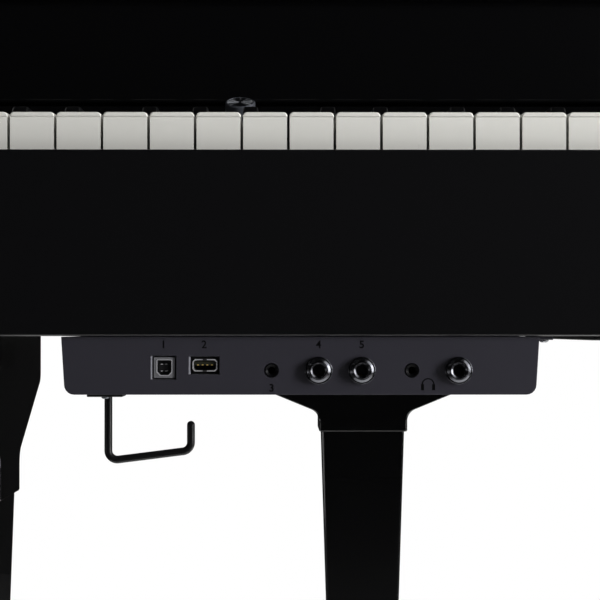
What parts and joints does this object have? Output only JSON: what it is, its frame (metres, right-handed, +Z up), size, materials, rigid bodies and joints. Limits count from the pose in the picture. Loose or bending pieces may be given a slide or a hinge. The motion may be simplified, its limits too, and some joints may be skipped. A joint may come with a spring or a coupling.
{
  "type": "digital grand piano",
  "caption": "Small black digital grand piano with a folding fallboard, a lid on a prop, a jack box with a headphone hook under the keys, and a pedal lyre.",
  "frame": {"origin": "on the floor, under the middle of the case", "axes": "+X to the player's right, +Y away from the player, +Z up"},
  "size_m": [1.407, 0.952, 1.3772],
  "materials": {
    "cabinet_gloss": "black polyester lacquer, polished",
    "cabinet_satin": "black, satin",
    "key_white": "moulded, soft sheen",
    "key_black": "moulded, matt",
    "box_black": "fine texture",
    "fitting_black": "satin",
    "dark_metal": "spun, dark anodised",
    "wire_black": "black paint",
    "steel": "plated",
    "brass": "polished",
    "circuit": "solder mask",
    "cone": "paper cone"
  },
  "bodies": {
    "case": {"bottom_board": "cabinet_satin", "bottom_cover": "steel", "cheek_block_left": "cabinet_gloss", "cheek_block_right": "cabinet_gloss", "control_panel": "cabinet_gloss", "fallboard_apron": "cabinet_gloss", "front_leg_left": "cabinet_gloss", "front_leg_right": "cabinet_gloss", "headphone_hook": "wire_black", "inner_deck": "cabinet_satin", "jack_box": "box_black", "jack_sleeve_left": "dark_metal", "jack_sleeve_phones": "dark_metal", "jack_sleeve_right": "dark_metal", "key_chassis": "steel", "keyslip": "cabinet_gloss", "lid_hinge": "brass", "main_board": "circuit", "mini_jack_input": "fitting_black", "mini_jack_phones": "fitting_black", "pedal_lyre": "cabinet_gloss", "power_inlet": "fitting_black", "power_supply": "steel", "rim": "cabinet_gloss", "speaker_grille_left": "fitting_black", "speaker_grille_right": "fitting_black", "speaker_left": "cone", "speaker_right": "cone", "tail_leg": "cabinet_gloss", "usb_device_port": "fitting_black", "usb_memory_port": "steel"},
    "white_key_a1": {"white_key_a1": "key_white"},
    "white_key_a2": {"white_key_a2": "key_white"},
    "white_key_b1": {"white_key_b1": "key_white"},
    "white_key_b2": {"white_key_b2": "key_white"},
    "white_key_c2": {"white_key_c2": "key_white"},
    "white_key_d1": {"white_key_d1": "key_white"},
    "white_key_d2": {"white_key_d2": "key_white"},
    "white_key_e1": {"white_key_e1": "key_white"},
    "white_key_e2": {"white_key_e2": "key_white"},
    "white_key_f1": {"white_key_f1": "key_white"},
    "white_key_f2": {"white_key_f2": "key_white"},
    "white_key_g1": {"white_key_g1": "key_white"},
    "white_key_g2": {"white_key_g2": "key_white"},
    "white_keys_lowest": {"white_keys_lowest": "key_white"},
    "white_keys_upper": {"white_keys_upper": "key_white"},
    "black_keys_octave_1": {"black_keys_octave_1": "key_black"},
    "black_keys_octave_2": {"black_keys_octave_2": "key_black"},
    "black_keys_upper": {"black_keys_upper": "key_black"},
    "volume_knob": {"volume_knob": "dark_metal"},
    "power_button": {"power_button": "fitting_black"},
    "pedal_left": {"pedal_left": "brass"},
    "pedal_middle": {"pedal_middle": "brass"},
    "pedal_right": {"pedal_right": "brass"},
    "fallboard": {"fallboard": "cabinet_gloss"},
    "fallboard_lip": {"fallboard_lip": "cabinet_gloss"},
    "music_desk": {"music_desk": "cabinet_gloss"},
    "lid": {"lid": "cabinet_gloss"},
    "lid_flap": {"lid_flap": "cabinet_gloss"},
    "lid_prop": {"lid_prop": "cabinet_gloss"}
  },
  "joints": [
    {"name": "white_key_a1_hinge", "type": "hinge", "parent": "case", "child": "white_key_a1", "pos_m": [0, -0.206, 0.715], "axis": [1, 0, 0], "range_deg": [0, 2.55], "stiffness_Nm_per_rad": 0.6, "springref_deg": -22.92},
    {"name": "white_key_a2_hinge", "type": "hinge", "parent": "case", "child": "white_key_a2", "pos_m": [0, -0.206, 0.715], "axis": [1, 0, 0], "range_deg": [0, 2.55], "stiffness_Nm_per_rad": 0.6, "springref_deg": -22.92},
    {"name": "white_key_b1_hinge", "type": "hinge", "parent": "case", "child": "white_key_b1", "pos_m": [0, -0.206, 0.715], "axis": [1, 0, 0], "range_deg": [0, 2.55], "stiffness_Nm_per_rad": 0.6, "springref_deg": -22.92},
    {"name": "white_key_b2_hinge", "type": "hinge", "parent": "case", "child": "white_key_b2", "pos_m": [0, -0.206, 0.715], "axis": [1, 0, 0], "range_deg": [0, 2.55], "stiffness_Nm_per_rad": 0.6, "springref_deg": -22.92},
    {"name": "white_key_c2_hinge", "type": "hinge", "parent": "case", "child": "white_key_c2", "pos_m": [0, -0.206, 0.715], "axis": [1, 0, 0], "range_deg": [0, 2.55], "stiffness_Nm_per_rad": 0.6, "springref_deg": -22.92},
    {"name": "white_key_d1_hinge", "type": "hinge", "parent": "case", "child": "white_key_d1", "pos_m": [0, -0.206, 0.715], "axis": [1, 0, 0], "range_deg": [0, 2.55], "stiffness_Nm_per_rad": 0.6, "springref_deg": -22.92},
    {"name": "white_key_d2_hinge", "type": "hinge", "parent": "case", "child": "white_key_d2", "pos_m": [0, -0.206, 0.715], "axis": [1, 0, 0], "range_deg": [0, 2.55], "stiffness_Nm_per_rad": 0.6, "springref_deg": -22.92},
    {"name": "white_key_e1_hinge", "type": "hinge", "parent": "case", "child": "white_key_e1", "pos_m": [0, -0.206, 0.715], "axis": [1, 0, 0], "range_deg": [0, 2.55], "stiffness_Nm_per_rad": 0.6, "springref_deg": -22.92},
    {"name": "white_key_e2_hinge", "type": "hinge", "parent": "case", "child": "white_key_e2", "pos_m": [0, -0.206, 0.715], "axis": [1, 0, 0], "range_deg": [0, 2.55], "stiffness_Nm_per_rad": 0.6, "springref_deg": -22.92},
    {"name": "white_key_f1_hinge", "type": "hinge", "parent": "case", "child": "white_key_f1", "pos_m": [0, -0.206, 0.715], "axis": [1, 0, 0], "range_deg": [0, 2.55], "stiffness_Nm_per_rad": 0.6, "springref_deg": -22.92},
    {"name": "white_key_f2_hinge", "type": "hinge", "parent": "case", "child": "white_key_f2", "pos_m": [0, -0.206, 0.715], "axis": [1, 0, 0], "range_deg": [0, 2.55], "stiffness_Nm_per_rad": 0.6, "springref_deg": -22.92},
    {"name": "white_key_g1_hinge", "type": "hinge", "parent": "case", "child": "white_key_g1", "pos_m": [0, -0.206, 0.715], "axis": [1, 0, 0], "range_deg": [0, 2.55], "stiffness_Nm_per_rad": 0.6, "springref_deg": -22.92},
    {"name": "white_key_g2_hinge", "type": "hinge", "parent": "case", "child": "white_key_g2", "pos_m": [0, -0.206, 0.715], "axis": [1, 0, 0], "range_deg": [0, 2.55], "stiffness_Nm_per_rad": 0.6, "springref_deg": -22.92},
    {"name": "white_keys_lowest_hinge", "type": "hinge", "parent": "case", "child": "white_keys_lowest", "pos_m": [0, -0.206, 0.715], "axis": [1, 0, 0], "range_deg": [0, 2.55], "stiffness_Nm_per_rad": 1.8, "springref_deg": -22.92},
    {"name": "white_keys_upper_hinge", "type": "hinge", "parent": "case", "child": "white_keys_upper", "pos_m": [0, -0.206, 0.715], "axis": [1, 0, 0], "range_deg": [0, 2.55], "stiffness_Nm_per_rad": 21.6, "springref_deg": -22.92},
    {"name": "black_keys_octave_1_hinge", "type": "hinge", "parent": "case", "child": "black_keys_octave_1", "pos_m": [0, -0.189, 0.715], "axis": [1, 0, 0], "range_deg": [0, 2.55], "stiffness_Nm_per_rad": 3.6, "springref_deg": -22.92},
    {"name": "black_keys_octave_2_hinge", "type": "hinge", "parent": "case", "child": "black_keys_octave_2", "pos_m": [0, -0.189, 0.715], "axis": [1, 0, 0], "range_deg": [0, 2.55], "stiffness_Nm_per_rad": 3, "springref_deg": -22.92},
    {"name": "black_keys_upper_hinge", "type": "hinge", "parent": "case", "child": "black_keys_upper", "pos_m": [0, -0.189, 0.715], "axis": [1, 0, 0], "range_deg": [0, 2.55], "stiffness_Nm_per_rad": 15, "springref_deg": -22.92},
    {"name": "volume_knob_turn", "type": "hinge", "parent": "case", "child": "volume_knob", "pos_m": [-0.428, -0.246, 0.75234], "axis": [0, -0.4384, 0.8988], "range_deg": [-150, 150]},
    {"name": "power_button_push", "type": "slide", "parent": "case", "child": "power_button", "axis": [0, 0.4384, -0.8988], "range_m": [0, 0.0015], "stiffness_N_per_m": 400, "springref_m": -0.003},
    {"name": "pedal_left_hinge", "type": "hinge", "parent": "case", "child": "pedal_left", "pos_m": [-0.072, -0.1851, 0.084], "axis": [1, 0, 0], "range_deg": [0, 8], "stiffness_Nm_per_rad": 3, "springref_deg": -14.32},
    {"name": "pedal_middle_hinge", "type": "hinge", "parent": "case", "child": "pedal_middle", "pos_m": [0, -0.1851, 0.084], "axis": [1, 0, 0], "range_deg": [0, 8], "stiffness_Nm_per_rad": 3, "springref_deg": -14.32},
    {"name": "pedal_right_hinge", "type": "hinge", "parent": "case", "child": "pedal_right", "pos_m": [0.072, -0.1851, 0.084], "axis": [1, 0, 0], "range_deg": [0, 8], "stiffness_Nm_per_rad": 3, "springref_deg": -14.32},
    {"name": "fallboard_hinge", "type": "hinge", "parent": "case", "child": "fallboard", "pos_m": [0, -0.209, 0.771], "axis": [1, 0, 0], "range_deg": [0, 97]},
    {"name": "fallboard_lip_hinge", "type": "hinge", "parent": "fallboard", "child": "fallboard_lip", "pos_m": [0, -0.19552, 0.91604], "axis": [-1, 0, 0], "range_deg": [0, 180]},
    {"name": "music_desk_hinge", "type": "hinge", "parent": "case", "child": "music_desk", "pos_m": [0, -0.155, 0.8396], "axis": [-1, 0, 0], "range_deg": [-70, 0]},
    {"name": "lid_hinge", "type": "hinge", "parent": "case", "child": "lid", "pos_m": [-0.6943, 0, 0.868], "axis": [0, -1, 0], "range_deg": [-20, 0]},
    {"name": "lid_flap_hinge", "type": "hinge", "parent": "lid", "child": "lid_flap", "pos_m": [-0.04721, 0.067, 1.12012], "axis": [0.9397, 0, 0.342], "range_deg": [0, 180]},
    {"name": "lid_prop_hinge", "type": "hinge", "parent": "case", "child": "lid_prop", "pos_m": [0.59, 0.055, 0.843], "axis": [0, 1, 0], "range_deg": [-80, 0]}
  ],
  "couplings": [
    {"joint": "lid_prop_hinge", "follows": "lid_hinge", "ratio": 4}
  ]
}
